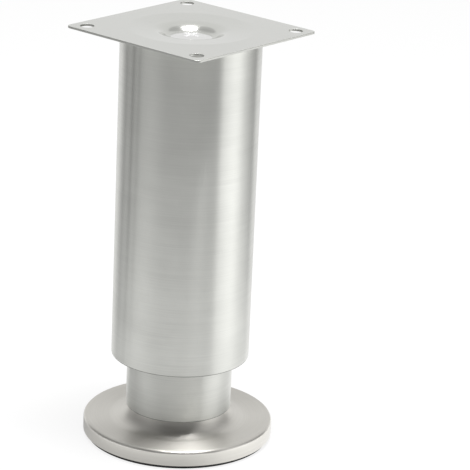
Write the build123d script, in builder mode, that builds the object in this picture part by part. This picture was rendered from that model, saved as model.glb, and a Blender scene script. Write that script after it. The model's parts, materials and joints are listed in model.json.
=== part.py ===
from build123d import *
import math
import os

# Adjustable furniture leg: a square fixing plate, an outer tube and a foot that screws in and out.
# Millimetres, +Z up, origin at the middle of the foot pad's underside, X and Y along the plate's sides.
# The foot is drawn screwed out as far as it goes, with all of its travel left inwards.

# Gaps between pieces
seat_gap = 0.05
running_gap = 0.1
thread_gap = 0.1
stem_hole_gap = 0.15

# Travel of the foot into the tube, and what is left over at either end of it
travel_in = 15.0
travel_spare = 1.0
neck_shown = 20.0

# Outer tube
tube_diameter = 50.0
tube_wall = 1.2
tube_length = 120.4
tube_edge = 0.2

# Fixing plate, dished a little over the tube's bore, with a dimple pressed into the dish
plate_overhang = 6.0
plate_thick = 0.8
plate_corner = 2.0
plate_edge = 0.2
hole_inset = 5.25
hole_diameter = 5.0
dish_margin = 1.8
dish_depth = 0.8
dimple_mouth = 22.8
dimple_floor = 15.8
dimple_depth = 3.1
dimple_bend = 0.9

# Plate screw, a wafer head with a cross recess, and its welded nut
screw_diameter = 5.9
screw_length = 12.0
screw_hole_gap = 0.3
screw_tip = 0.6
head_diameter = 14.8
head_rim = 1.0
head_dome = 0.8
cross_reach = 6.4
cross_slot = 1.4
cross_depth = 2.0
cross_taper = 12.0
plate_nut_flats = 10.0
plate_nut_height = 5.0

# Drawn steel cups, welded inside the tube, that carry the nuts
cup_wall = 2.0
cup_depth = 12.0
cup_bend = 3.0

# Mouth bush, pressed into the tube's lower end
bush_recess = 1.0
bush_length = 14.0
bush_wall = 4.5
bush_floor = 2.0
bush_lead = 0.6
bush_ribs = 8

# Neck tube, and the plug that closes its top
neck_wall = 1.2
neck_overhang = 0.7
neck_edge = 0.2
plug_depth = 10.0
plug_roof = 3.0
plug_skin = 2.4
plug_hub_wall = 3.8
flange_thick = 1.6
groove_inset = 0.15
plug_ribs = 6
rib_thick = 1.6

# Split guide ring in the plug's groove
ring_height = 5.0
ring_end_gap = 0.2
ring_slit = 2.0
ring_edge = 0.5

# Stem: a hexagon bolt with its clamp washer and nuts
stem_diameter = 9.9
stem_spare = 4.0
stem_tip = 1.0
stem_flats = 16.0
stem_head_height = 6.4
washer_diameter = 20.0
washer_thick = 2.0
nut_height = 8.0

# Foot: stamped disc, moulded core and pad
pad_thick = 2.0
pad_proud = 1.3
pad_inset = 0.2
pad_edge = 0.3
skirt_height = 5.6
flare_height = 4.6
flare_radius = 7.0
disc_flat = 8.3
disc_sheet = 0.8
rim_radius = 1.2
spigot_height = 3.0
head_seat_gap = 0.2
core_hub_wall = 2.8
core_ribs = 6

# Radii that follow from these
tube_radius = tube_diameter / 2
bore_radius = tube_radius - tube_wall
seated_radius = bore_radius - seat_gap
neck_radius = seated_radius - bush_wall - running_gap
neck_bore = neck_radius - neck_wall
stem_radius = stem_diameter / 2
stem_hole = stem_radius + stem_hole_gap
plate_side = tube_diameter + 2 * plate_overhang
hole_pitch = plate_side - 2 * hole_inset
screw_radius = screw_diameter / 2
screw_hole = screw_radius + screw_hole_gap
flange_radius = (neck_radius + bore_radius) / 2
groove_radius = neck_radius - groove_inset
shoulder_radius = neck_radius - neck_overhang
spigot_radius = neck_bore - seat_gap
flare_angle = math.degrees(math.acos(1 - flare_height / flare_radius))
flare_foot = shoulder_radius + flare_radius * math.sin(math.radians(flare_angle))
disc_radius = flare_foot + disc_flat + rim_radius
core_radius = disc_radius - disc_sheet - seat_gap
pad_radius = core_radius - pad_inset

# Heights that follow, from the floor up
skirt_bottom = pad_proud
disc_top = skirt_bottom + skirt_height
shoulder_top = disc_top + flare_height
spigot_top = shoulder_top + spigot_height
head_bottom = pad_thick + head_seat_gap
head_top = head_bottom + stem_head_height
tube_bottom = shoulder_top + neck_shown
tube_top = tube_bottom + tube_length
plate_top = tube_top + plate_thick
bush_bottom = tube_bottom + bush_recess
bush_top = bush_bottom + bush_length
neck_top = bush_top + travel_spare
groove_bottom = neck_top + flange_thick
groove_top = groove_bottom + ring_height + 2 * ring_end_gap
plug_top = groove_top + flange_thick
washer_top = plug_top + washer_thick
clamp_nut_top = washer_top + nut_height
stem_nut_bottom = clamp_nut_top + travel_in + travel_spare
stem_nut_top = stem_nut_bottom + nut_height
stem_top = stem_nut_top + stem_spare
dish_floor = plate_top - dish_depth
dimple_seat = dish_floor - dimple_depth
cup_top = dimple_seat - plate_thick

upright = Plane.XZ


def level(height):
    """The horizontal plane at a height."""
    return Plane.XY.offset(height)


def hexagon_nut(flats, height, bore, bottom):
    """A nut with its corners turned off at both faces, standing at a height."""
    corner = flats / math.sqrt(3)
    turned = (corner - flats / 2) / math.sqrt(3)
    with BuildPart() as nut:
        with BuildSketch(level(bottom)):
            RegularPolygon(flats / 2, 6, major_radius=False)
            Circle(bore, mode=Mode.SUBTRACT)
        extrude(amount=height)
        with BuildSketch(upright):
            with Locations((0, bottom)):
                Rectangle(corner, height, align=(Align.MIN, Align.MIN))
            outer_corners = vertices().group_by(Axis.X)[-1]
            chamfer(outer_corners, turned, corner - flats / 2)
        revolve(axis=Axis.Z, mode=Mode.INTERSECT)
    return nut


def drawn_cup(web_bottom, opening, hole):
    """A drawn cup that fits the tube's bore, with its web at a height and its skirt up (1) or down (-1)."""
    web_outside = web_bottom if opening > 0 else web_bottom + cup_wall
    with BuildPart() as cup:
        with BuildSketch(level(web_outside)):
            Circle(seated_radius)
        extrude(amount=opening * cup_depth)
        closed_end = edges().sort_by(Axis.Z)[0 if opening > 0 else -1]
        fillet(closed_end, cup_bend)
        open_end = faces().sort_by(Axis.Z)[-1 if opening > 0 else 0]
        offset(amount=-cup_wall, openings=open_end)
        with BuildSketch(level(web_bottom)):
            Circle(hole)
        extrude(amount=cup_wall, mode=Mode.SUBTRACT)
    return cup


# Fixing plate: a square sheet with four holes, a shallow dish and a cone-sided dimple in its middle
dish_radius = bore_radius - dish_margin
dish_slope = math.atan2(dish_depth, dish_radius - dimple_mouth / 2)
dimple_slope = math.atan2(dimple_depth, (dimple_mouth - dimple_floor) / 2)
dish_shift = plate_thick * math.tan(dish_slope / 2)
floor_shift = plate_thick * math.tan(dimple_slope / 2)
mouth_lean = (dish_slope + dimple_slope) / 2
mouth_thick = plate_thick / math.cos((dimple_slope - dish_slope) / 2)
with BuildPart() as top_plate:
    with BuildSketch(level(tube_top)):
        RectangleRounded(plate_side, plate_side, plate_corner)
        with GridLocations(hole_pitch, hole_pitch, 2, 2):
            Circle(hole_diameter / 2, mode=Mode.SUBTRACT)
    extrude(amount=plate_thick)
    outline = faces().sort_by(Axis.Z)[-1].outer_wire().edges()
    fillet(outline, plate_edge)
    with BuildSketch(upright):
        with BuildLine():
            Polyline(
                (0, tube_top),
                (dish_radius + dish_shift, tube_top),
                (
                    dimple_mouth / 2 + mouth_thick * math.sin(mouth_lean),
                    dish_floor - mouth_thick * math.cos(mouth_lean),
                ),
                (dimple_floor / 2 + floor_shift, cup_top),
                (0, cup_top),
                close=True,
            )
        make_face()
    revolve(axis=Axis.Z)
    with BuildSketch(upright):
        with BuildLine():
            Polyline(
                (0, plate_top),
                (dish_radius, plate_top),
                (dimple_mouth / 2, dish_floor),
                (dimple_floor / 2, dimple_seat),
                (0, dimple_seat),
                close=True,
            )
        make_face()
    revolve(axis=Axis.Z, mode=Mode.SUBTRACT)
    dimple_rims = edges().filter_by(GeomType.CIRCLE).filter_by(
        lambda rim: abs(rim.radius - dimple_mouth / 2) < floor_shift / 2
        or abs(rim.radius - dimple_floor / 2) < floor_shift / 2
    )
    fillet(dimple_rims, dimple_bend)
    with BuildSketch(level(cup_top)):
        Circle(screw_hole)
    extrude(amount=plate_thick, mode=Mode.SUBTRACT)

# Plate screw: domed wafer head on the dimple's floor, cross recess, plain shank
with BuildPart() as plate_screw:
    with BuildSketch(upright):
        with BuildLine():
            rim = dimple_seat + head_rim
            Polyline(
                (0, rim + head_dome),
                (0, dimple_seat - screw_length),
                (screw_radius - screw_tip, dimple_seat - screw_length),
                (screw_radius, dimple_seat - screw_length + screw_tip),
                (screw_radius, dimple_seat),
                (head_diameter / 2, dimple_seat),
                (head_diameter / 2, rim),
            )
            dome_rise = head_dome / (head_diameter / 2)
            dome_radius = (head_diameter / 2) * (1 + dome_rise**2) / (2 * dome_rise)
            RadiusArc((head_diameter / 2, rim), (0, rim + head_dome), -dome_radius)
        make_face()
    revolve(axis=Axis.Z)
    with BuildSketch(level(dimple_seat + head_rim + head_dome)):
        Rectangle(cross_reach, cross_slot)
        Rectangle(cross_slot, cross_reach)
    extrude(amount=-cross_depth, taper=cross_taper, mode=Mode.SUBTRACT)

# Cups and the nuts welded under their webs
top_cup = drawn_cup(cup_top - cup_wall, -1, screw_hole)
plate_nut = hexagon_nut(
    plate_nut_flats, plate_nut_height, screw_radius + seat_gap, cup_top - cup_wall - plate_nut_height
)
stem_cup = drawn_cup(stem_nut_top, 1, stem_hole)
stem_nut = hexagon_nut(stem_flats, nut_height, stem_radius + thread_gap, stem_nut_bottom)

# Outer tube, its ends lightly broken
with BuildPart() as outer_tube:
    with BuildSketch(level(tube_bottom)):
        Circle(tube_radius)
        Circle(bore_radius, mode=Mode.SUBTRACT)
    extrude(amount=tube_length)
    chamfer(edges().filter_by(GeomType.CIRCLE), tube_edge)

# Mouth bush: a ribbed ring that fills the gap between tube and neck
with BuildPart() as mouth_bush:
    with BuildSketch(level(bush_bottom)):
        Circle(seated_radius)
        Circle(seated_radius - bush_wall, mode=Mode.SUBTRACT)
    extrude(amount=bush_length)
    lead_in = edges().group_by(Axis.Z)[0].sort_by(SortBy.RADIUS)[0]
    chamfer(lead_in, bush_lead)
    with BuildSketch(level(bush_bottom + bush_floor)):
        Circle(seated_radius - bush_wall / 3)
        Circle(seated_radius - bush_wall * 2 / 3, mode=Mode.SUBTRACT)
        with PolarLocations(seated_radius - bush_wall / 2, bush_ribs):
            Rectangle(bush_wall, rib_thick, mode=Mode.SUBTRACT)
    extrude(amount=bush_length, mode=Mode.SUBTRACT)

# Neck tube, standing on the disc's shoulder
with BuildPart() as neck_tube:
    with BuildSketch(level(shoulder_top)):
        Circle(neck_radius)
        Circle(neck_bore, mode=Mode.SUBTRACT)
    extrude(amount=neck_top - shoulder_top)
    chamfer(edges().filter_by(GeomType.CIRCLE), neck_edge)

# Neck plug: flanged and grooved outside, cored and ribbed from below
plug_hub = stem_hole + plug_hub_wall
core_outside = spigot_radius - plug_skin
with BuildPart() as neck_plug:
    with BuildSketch(upright):
        with BuildLine():
            Polyline(
                (stem_hole, neck_top - plug_depth),
                (plug_hub, neck_top - plug_depth),
                (plug_hub, plug_top - plug_roof),
                (core_outside, plug_top - plug_roof),
                (core_outside, neck_top - plug_depth),
                (spigot_radius, neck_top - plug_depth),
                (spigot_radius, neck_top),
                (flange_radius, neck_top),
                (flange_radius, groove_bottom),
                (groove_radius, groove_bottom),
                (groove_radius, groove_top),
                (flange_radius, groove_top),
                (flange_radius, plug_top),
                (stem_hole, plug_top),
                close=True,
            )
        make_face()
    revolve(axis=Axis.Z)
    with BuildSketch(level(neck_top - plug_depth)):
        with PolarLocations((plug_hub + core_outside) / 2, plug_ribs):
            Rectangle(core_outside - plug_hub + plug_skin, rib_thick)
    extrude(amount=plug_depth)

# Guide ring: split nylon ring that slides along the tube's bore
with BuildPart() as guide_ring:
    with BuildSketch(level(groove_bottom + ring_end_gap)):
        Circle(bore_radius - running_gap)
        Circle(groove_radius + running_gap, mode=Mode.SUBTRACT)
    extrude(amount=ring_height)
    chamfer(edges().filter_by(GeomType.CIRCLE).group_by(SortBy.RADIUS)[-1], ring_edge)
    with BuildSketch(level(groove_bottom + ring_end_gap)):
        with Locations((flange_radius, 0)):
            Rectangle(tube_diameter / 2, ring_slit)
    extrude(amount=ring_height, mode=Mode.SUBTRACT)

# Stem: hexagon head in the core, shank up through disc, plug and stem nut
with BuildPart() as stem:
    with BuildSketch(level(head_bottom)):
        RegularPolygon(stem_flats / 2, 6, major_radius=False)
    extrude(amount=stem_head_height)
    with BuildSketch(level(head_top)):
        Circle(stem_radius)
    extrude(amount=stem_top - head_top)
    chamfer(edges().sort_by(Axis.Z)[-1], stem_tip)

# Clamp washer and nut that draw plug, neck, disc and core together
with BuildPart() as clamp_washer:
    with BuildSketch(level(plug_top)):
        Circle(washer_diameter / 2)
        Circle(stem_hole, mode=Mode.SUBTRACT)
    extrude(amount=washer_thick)
clamp_nut = hexagon_nut(stem_flats, nut_height, stem_radius + thread_gap, washer_top)

# Foot disc: one stamping, skirt, rounded rim, flat ring, trumpet flare, shoulder and spigot
with BuildPart() as foot_disc:
    with BuildSketch(upright):
        with BuildLine():
            Polyline(
                (flare_foot, disc_top),
                (disc_radius, disc_top),
                (disc_radius, skirt_bottom),
                (0, skirt_bottom),
                (0, spigot_top),
                (spigot_radius, spigot_top),
                (spigot_radius, shoulder_top),
                (shoulder_radius, shoulder_top),
            )
            CenterArc((flare_foot, disc_top + flare_radius), flare_radius, 270, -flare_angle)
        make_face()
    revolve(axis=Axis.Z)
    rim_edge = edges().filter_by(GeomType.CIRCLE).filter_by_position(Axis.Z, disc_top, disc_top)
    fillet(rim_edge.sort_by(SortBy.RADIUS)[-1], rim_radius)
    underside = faces().sort_by(Axis.Z)[0]
    offset(amount=-disc_sheet, openings=underside, kind=Kind.INTERSECTION)
    with BuildSketch(level(spigot_top)):
        Circle(stem_hole)
    extrude(amount=-disc_sheet, mode=Mode.SUBTRACT)

# Foot core: moulded filling under the disc, hub and ribs in the flare, hexagon seat for the stem's head
hub_radius = stem_flats / math.sqrt(3) + running_gap + core_hub_wall
rib_reach = spigot_radius - disc_sheet - seat_gap
with BuildPart() as foot_core:
    with BuildSketch(level(pad_thick)):
        Circle(core_radius)
    extrude(amount=disc_top - disc_sheet - pad_thick)
    fillet(edges().sort_by(Axis.Z)[-1], rim_radius)
    with BuildSketch(level(pad_thick)):
        Circle(hub_radius)
        with PolarLocations((hub_radius + rib_reach) / 2 - rib_thick / 2, core_ribs):
            Rectangle(rib_reach - hub_radius + rib_thick, rib_thick)
    extrude(amount=spigot_top - disc_sheet - pad_thick)
    with BuildSketch(level(pad_thick)):
        RegularPolygon(stem_flats / 2 + running_gap, 6, major_radius=False)
    extrude(amount=head_top - pad_thick, mode=Mode.SUBTRACT)
    with BuildSketch(level(head_top)):
        Circle(stem_hole)
    extrude(amount=spigot_top - head_top, mode=Mode.SUBTRACT)

# Foot pad, stuck under the core and just proud of the skirt
with BuildPart() as foot_pad:
    with BuildSketch():
        Circle(pad_radius)
    extrude(amount=pad_thick)
    chamfer(edges().sort_by(Axis.Z)[0], pad_edge)

os.makedirs("parts", exist_ok=True)
pieces = {
    "top_plate": top_plate,
    "plate_screw": plate_screw,
    "top_cup": top_cup,
    "plate_nut": plate_nut,
    "outer_tube": outer_tube,
    "stem_cup": stem_cup,
    "stem_nut": stem_nut,
    "mouth_bush": mouth_bush,
    "guide_ring": guide_ring,
    "neck_tube": neck_tube,
    "neck_plug": neck_plug,
    "clamp_washer": clamp_washer,
    "clamp_nut": clamp_nut,
    "stem": stem,
    "foot_disc": foot_disc,
    "foot_core": foot_core,
    "foot_pad": foot_pad,
}
for name, piece in pieces.items():
    piece.part.label = name
    export_step(piece.part, f"parts/{name}.step")
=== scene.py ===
"""Looks of an adjustable bed support leg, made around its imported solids.

Lengths are in metres, in the frame of the solids: +Z up, X and Y along the plate's sides, and the origin
under the middle of the foot. Each visible piece is a finer mesh of the same form as the solid it stands for.
"""

import json
import logging
import math
from dataclasses import dataclass
from enum import Enum
from typing import Any

import bmesh
import bpy
from mathutils import Matrix, Vector


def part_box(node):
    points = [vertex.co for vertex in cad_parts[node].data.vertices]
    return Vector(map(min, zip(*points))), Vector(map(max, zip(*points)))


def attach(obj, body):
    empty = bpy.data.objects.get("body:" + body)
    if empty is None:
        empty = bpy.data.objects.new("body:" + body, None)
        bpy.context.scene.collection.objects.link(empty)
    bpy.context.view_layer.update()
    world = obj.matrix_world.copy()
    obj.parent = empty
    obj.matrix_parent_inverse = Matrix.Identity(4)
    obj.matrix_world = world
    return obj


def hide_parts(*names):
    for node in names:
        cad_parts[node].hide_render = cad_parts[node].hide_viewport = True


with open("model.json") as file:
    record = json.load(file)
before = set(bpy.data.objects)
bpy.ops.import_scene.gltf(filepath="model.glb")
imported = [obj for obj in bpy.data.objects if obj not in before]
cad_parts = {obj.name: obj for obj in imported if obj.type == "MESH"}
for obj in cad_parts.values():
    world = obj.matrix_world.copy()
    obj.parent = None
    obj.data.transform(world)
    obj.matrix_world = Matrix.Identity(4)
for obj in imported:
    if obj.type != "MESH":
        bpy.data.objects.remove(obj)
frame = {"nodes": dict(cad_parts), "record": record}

log = logging.getLogger("bed_leg")

Point = tuple[float, float]
Colour = tuple[float, float, float]
Piece = bpy.types.Object
Material = bpy.types.Material
Node = bpy.types.Node
Socket = bpy.types.NodeSocket
Tree = bpy.types.NodeTree
Ring = list[bmesh.types.BMVert]

MM = 0.001
FULL_TURN = 2 * math.pi
UNIT: Point = (0.0, 1.0)
# Mesh attribute that is 1 on a cut edge of a sheet or a tube. The finish makes these faces rougher and
# darkens them with painted shade, for the gaps at the tube ends and under the plate's edge.
CUT_EDGE_SHADE = "cut_edge_shade"
# Points of a made mesh that lie closer than this are merged.
WELD = 1e-4 * MM

# A thread's profile over half a pitch: where its crest ends and where its root starts.
THREAD_FLANK: Point = (0.12, 0.85)
# Turns over which a thread comes in at its lower end.
RUN_IN_TURNS = 1.5

# Share of a metal's marks in its tone. Clouds have the rest.
MARK_SHARE = 0.7
# Clouds in a metal and wear on a moulding, in waves per metre.
CLOUD_SCALE = 55.0
WEAR_SCALE = 90.0
# Part of a noise that shows as wear, and the middle part, which holds most of its values.
WEAR_NOISE: Point = (0.45, 0.75)
MID_NOISE: Point = (0.3, 0.7)
# A sheen that is drawn out across the brushing lies a quarter turn from it.
QUARTER_TURN = 0.25
# Depth of brushing and of a moulded grain at full relief.
BRUSH_DEPTH = 0.02 * MM
GRAIN_DEPTH = 0.05 * MM


class Grain(Enum):
    """How the marks of a finish lie on a piece."""

    ROUND = "round the upright axis"
    ALONG = "straight along X"
    CLOUDY = "no direction"


class Body(Enum):
    """The moving groups of the leg."""

    LEG = "leg"
    FOOT = "foot"


# Node helpers


def add_node(tree: Tree, kind: str, inputs: dict[Any, Any] | None = None, **options: Any) -> Node:
    """Adds a node, sets its options, then fills or links its inputs.

    Args:
        tree: The tree that gets the node.
        kind: The node's type name.
        inputs: Input name or place, with a plain value or the output socket to link to it.
        options: Settings of the node.

    Returns:
        The new node.
    """
    node = tree.nodes.new(kind)
    for option, choice in options.items():
        setattr(node, option, choice)
    for key, value in (inputs or {}).items():
        if isinstance(value, bpy.types.NodeSocket):
            tree.links.new(value, node.inputs[key])
        else:
            node.inputs[key].default_value = value
    return node


def maths(tree: Tree, operation: str, *values: Any) -> Socket:
    """Adds one sum on numbers.

    Args:
        tree: The tree that gets the node.
        operation: The sum's name.
        values: The numbers or sockets that go in.

    Returns:
        The socket with the answer.
    """
    return add_node(tree, "ShaderNodeMath", dict(enumerate(values)), operation=operation).outputs[0]


def vector_maths(tree: Tree, operation: str, *values: Any) -> Socket:
    """Adds one sum on vectors.

    Args:
        tree: The tree that gets the node.
        operation: The sum's name.
        values: The vectors or sockets that go in.

    Returns:
        The socket with the answer, which is a number for a length or a dot product.
    """
    node = add_node(tree, "ShaderNodeVectorMath", dict(enumerate(values)), operation=operation)
    return node.outputs["Value" if operation in ("LENGTH", "DOT_PRODUCT") else "Vector"]


def mix(tree: Tree, share: Any, first: Any, second: Any) -> Socket:
    """Blends two numbers, all of the first at a share of 0 and all of the second at 1."""
    return add_node(tree, "ShaderNodeMix", {0: share, 2: first, 3: second}).outputs[0]


def mix_tones(tree: Tree, share: Socket, first: Colour, second: Colour) -> Socket:
    """Blends two colours, all of the first at a share of 0 and all of the second at 1."""
    inputs = {0: share, 6: first + (1.0,), 7: second + (1.0,)}
    return add_node(tree, "ShaderNodeMix", inputs, data_type="RGBA").outputs[2]


def remap(tree: Tree, value: Any, source: Point, target: Point = UNIT, smooth: bool = False) -> Socket:
    """Carries a number from one range to another, held at the ends.

    Args:
        tree: The tree that gets the node.
        value: The number or socket that goes in.
        source: The range it comes from.
        target: The range it goes to.
        smooth: Eases in and out at both ends.

    Returns:
        The socket with the number in its new range.
    """
    kind = "SMOOTHSTEP" if smooth else "LINEAR"
    inputs = {0: value, 1: source[0], 2: source[1], 3: target[0], 4: target[1]}
    return add_node(tree, "ShaderNodeMapRange", inputs, interpolation_type=kind).outputs[0]


def noise(tree: Tree, place: Socket, scale: float, detail: float, roughness: float = 0.5) -> Socket:
    """Adds a noise pattern, from 0 to 1.

    Args:
        tree: The tree that gets the node.
        place: Where the pattern is read.
        scale: Waves per unit of length.
        detail: How many finer patterns are laid over it.
        roughness: How strong the finer ones are.

    Returns:
        The socket with the pattern.
    """
    inputs = {"Vector": place, "Scale": scale, "Detail": detail, "Roughness": roughness}
    return add_node(tree, "ShaderNodeTexNoise", inputs).outputs[0]


def place_on(tree: Tree) -> Socket:
    """The place on the piece that a pattern reads."""
    return add_node(tree, "ShaderNodeTexCoord").outputs["Object"]


def axis_distance(tree: Tree, place: Socket) -> Socket:
    """Adds the distance of a place from the Z axis."""
    return vector_maths(tree, "LENGTH", vector_maths(tree, "MULTIPLY", place, (1.0, 1.0, 0.0)))


def ray_kinds(tree: Tree) -> tuple[Socket, Socket]:
    """Adds sockets that are 1 for mirrored or passing rays, and for rays from the camera."""
    path = add_node(tree, "ShaderNodeLightPath").outputs
    return maths(tree, "MAXIMUM", path["Is Glossy Ray"], path["Is Transmission Ray"]), path["Is Camera Ray"]


# Geometry trees


def start_tree(name: str, inputs: dict[str, str]) -> tuple[Tree, Node]:
    """Starts a geometry tree with a geometry input and output and named inputs.

    Args:
        name: The tree's name.
        inputs: Input name and socket type.

    Returns:
        The tree and its input node.
    """
    tree = bpy.data.node_groups.new(name, "GeometryNodeTree")
    tree.interface.new_socket("Geometry", in_out="INPUT", socket_type="NodeSocketGeometry")
    for label, kind in inputs.items():
        tree.interface.new_socket(label, in_out="INPUT", socket_type=kind)
    tree.interface.new_socket("Geometry", in_out="OUTPUT", socket_type="NodeSocketGeometry")
    return tree, tree.nodes.new("NodeGroupInput")


def end_tree(tree: Tree, given: Node, mesh: Socket) -> Tree:
    """Closes a geometry tree: seams merged, instances realized, finish set.

    Args:
        tree: The tree.
        given: Its input node, with a Finish input.
        mesh: The socket of the finished mesh.

    Returns:
        The tree, ready for use.
    """
    merged = add_node(tree, "GeometryNodeMergeByDistance", {"Geometry": mesh, "Distance": WELD})
    smooth = add_node(tree, "GeometryNodeSetShadeSmooth", {0: merged.outputs[0]})
    real = add_node(tree, "GeometryNodeRealizeInstances", {0: smooth.outputs[0]})
    inputs = {"Geometry": real.outputs[0], "Material": given.outputs["Finish"]}
    dressed = add_node(tree, "GeometryNodeSetMaterial", inputs)
    add_node(tree, "NodeGroupOutput", {0: dressed.outputs[0]})
    return tree


def polar_grid(tree: Tree, segments: Socket, rows: Socket) -> tuple[Socket, Socket, Socket]:
    """Adds a grid whose columns go round an axis.

    Args:
        tree: The tree that gets the nodes.
        segments: How many steps go round.
        rows: How many points each column has.

    Returns:
        The grid, each point's angle and each point's row.
    """
    columns = maths(tree, "ADD", segments, 1)
    grid = add_node(tree, "GeometryNodeMeshGrid", {"Vertices X": columns, "Vertices Y": rows})
    index = add_node(tree, "GeometryNodeInputIndex").outputs[0]
    column = maths(tree, "FLOOR", maths(tree, "DIVIDE", index, rows))
    row = maths(tree, "SUBTRACT", index, maths(tree, "MULTIPLY", column, rows))
    angle = maths(tree, "DIVIDE", maths(tree, "MULTIPLY", column, FULL_TURN), segments)
    return grid.outputs[0], angle, row


def place_polar(tree: Tree, grid: Socket, angle: Socket, radius: Socket, height: Socket) -> Socket:
    """Sets a grid's points by angle, radius and height.

    Args:
        tree: The tree that gets the nodes.
        grid: The grid.
        angle: Each point's angle.
        radius: Each point's distance from the axis.
        height: Each point's height.

    Returns:
        The socket of the placed mesh.
    """
    across = maths(tree, "MULTIPLY", radius, maths(tree, "COSINE", angle))
    deep = maths(tree, "MULTIPLY", radius, maths(tree, "SINE", angle))
    spot = add_node(tree, "ShaderNodeCombineXYZ", {0: across, 1: deep, 2: height}).outputs[0]
    return add_node(tree, "GeometryNodeSetPosition", {"Geometry": grid, "Position": spot}).outputs[0]


def turned_tree() -> Tree:
    """Makes the tree that turns a closed section, drawn as points in the XZ plane, about the Z axis.

    Returns:
        The tree, with inputs Segments and Finish.
    """
    tree, given = start_tree("Turned section", {"Segments": "NodeSocketInt", "Finish": "NodeSocketMaterial"})
    section = given.outputs["Geometry"]
    size = add_node(tree, "GeometryNodeAttributeDomainSize", {0: section}, component="MESH")
    count = size.outputs["Point Count"]
    grid, angle, row = polar_grid(tree, given.outputs["Segments"], maths(tree, "ADD", count, 1))
    place = add_node(tree, "GeometryNodeInputPosition").outputs[0]
    inputs = {"Geometry": section, "Value": place, "Index": maths(tree, "MODULO", row, count)}
    corner = add_node(tree, "GeometryNodeSampleIndex", inputs, data_type="FLOAT_VECTOR", domain="POINT")
    parts = add_node(tree, "ShaderNodeSeparateXYZ", {0: corner.outputs[0]})
    mesh = place_polar(tree, grid, angle, parts.outputs["X"], parts.outputs["Z"])
    return end_tree(tree, given, mesh)


def thread_tree() -> Tree:
    """Makes the tree that cuts a right-hand thread on a plain rod, with flat ends and a tapered tip.

    The first and the last row of points lie on the axis and close the ends.

    Returns:
        The tree, with inputs Radius, Depth, Pitch, Bottom, Length, Tip, Segments, Rows and Finish.
    """
    sizes = ("Radius", "Depth", "Pitch", "Bottom", "Length", "Tip")
    inputs = {label: "NodeSocketFloat" for label in sizes}
    inputs |= {"Segments": "NodeSocketInt", "Rows": "NodeSocketInt", "Finish": "NodeSocketMaterial"}
    tree, given = start_tree("Threaded rod", inputs)
    radius, depth, pitch, bottom, length, tip = (given.outputs[label] for label in sizes)
    rows = given.outputs["Rows"]
    grid, angle, row = polar_grid(tree, given.outputs["Segments"], rows)
    steps = maths(tree, "SUBTRACT", rows, 3)
    share = remap(tree, maths(tree, "DIVIDE", maths(tree, "SUBTRACT", row, 1), steps), UNIT)
    rise = maths(tree, "MULTIPLY", share, length)
    climbed = maths(tree, "DIVIDE", rise, pitch)
    turns = maths(tree, "SUBTRACT", climbed, maths(tree, "DIVIDE", angle, FULL_TURN))
    wave = maths(tree, "PINGPONG", maths(tree, "MULTIPLY", maths(tree, "FRACT", turns), 2.0), 1.0)
    profile = remap(tree, wave, THREAD_FLANK)
    run_in = remap(tree, climbed, (0.0, RUN_IN_TURNS))
    groove = maths(tree, "MULTIPLY", maths(tree, "MULTIPLY", profile, run_in), depth)
    threaded = maths(tree, "SUBTRACT", radius, groove)
    to_end = maths(tree, "SUBTRACT", length, rise)
    taper = maths(tree, "ADD", maths(tree, "SUBTRACT", radius, tip), to_end)
    width = maths(tree, "MINIMUM", threaded, taper)
    past_first = maths(tree, "GREATER_THAN", row, 0.5)
    before_last = maths(tree, "LESS_THAN", row, maths(tree, "SUBTRACT", rows, 1.5))
    width = maths(tree, "MULTIPLY", width, maths(tree, "MULTIPLY", past_first, before_last))
    mesh = place_polar(tree, grid, angle, width, maths(tree, "ADD", bottom, rise))
    return end_tree(tree, given, mesh)


# Mesh helpers


def arc(centre: Point, radius: float, start: float, end: float, steps: int) -> list[Point]:
    """Points along an arc of a section, both ends among them.

    Args:
        centre: The arc's centre, as radius and height.
        radius: The arc's radius.
        start: The angle it starts at, in degrees.
        end: The angle it ends at, in degrees.
        steps: How many steps it has.

    Returns:
        The points in order.
    """
    angles = (math.radians(start + (end - start) * i / steps) for i in range(steps + 1))
    return [(centre[0] + radius * math.cos(a), centre[1] + radius * math.sin(a)) for a in angles]


def rounded(corners: list[Point], bends: tuple[float, ...], steps: int = 8) -> list[Point]:
    """A line through corners, rounded at each of them but the two ends.

    Args:
        corners: The corners in order, as radius and height.
        bends: Rounding of each corner between the ends.
        steps: How many steps each rounding has.

    Returns:
        The line's points.
    """
    line = [corners[0]]
    for before, here, after, bend in zip(corners, corners[1:], corners[2:], bends):
        spot = Vector(here)
        back, on = (Vector(before) - spot).normalized(), (Vector(after) - spot).normalized()
        half = back.angle(on) / 2
        centre = spot + (back + on).normalized() * bend / math.sin(half)
        first, last = (spot + way * bend / math.tan(half) - centre for way in (back, on))
        start = math.degrees(math.atan2(first.y, first.x))
        sweep = math.degrees(first.angle(last)) * (1 if first.x * last.y > first.y * last.x else -1)
        line += arc((centre.x, centre.y), bend, start, start + sweep, steps)
    return line + [corners[-1]]


def set_down(corners: list[Point], thick: float) -> list[Point]:
    """A line's underside, one sheet thickness below it.

    Args:
        corners: The upper line's corners, from the outside inwards.
        thick: The sheet's thickness.

    Returns:
        The lower line's corners.
    """
    spots = [Vector(corner) for corner in corners]
    ways = [(after - before).normalized() for before, after in zip(spots, spots[1:])]
    downs = [Vector((-way.y, way.x)) for way in ways]
    lower = []
    for spot, one, two in zip(spots, downs[:1] + downs, downs + downs[-1:]):
        lower.append(tuple(spot + (one + two) * thick / (1 + one.dot(two))))
    return lower


def new_piece(name: str, mesh: bpy.types.Mesh) -> Piece:
    """Puts a mesh into the scene as a piece at the origin.

    Args:
        name: The piece's name.
        mesh: Its mesh.

    Returns:
        The piece.
    """
    piece = bpy.data.objects.new(name, mesh)
    bpy.context.scene.collection.objects.link(piece)
    return piece


def plain_mesh(work: bmesh.types.BMesh, name: str) -> bpy.types.Mesh:
    """Turns a mesh in the making into a plain one, and frees it.

    Args:
        work: The mesh in the making.
        name: The plain mesh's name.

    Returns:
        The plain mesh.
    """
    mesh = bpy.data.meshes.new(name)
    work.to_mesh(mesh)
    work.free()
    return mesh


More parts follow.
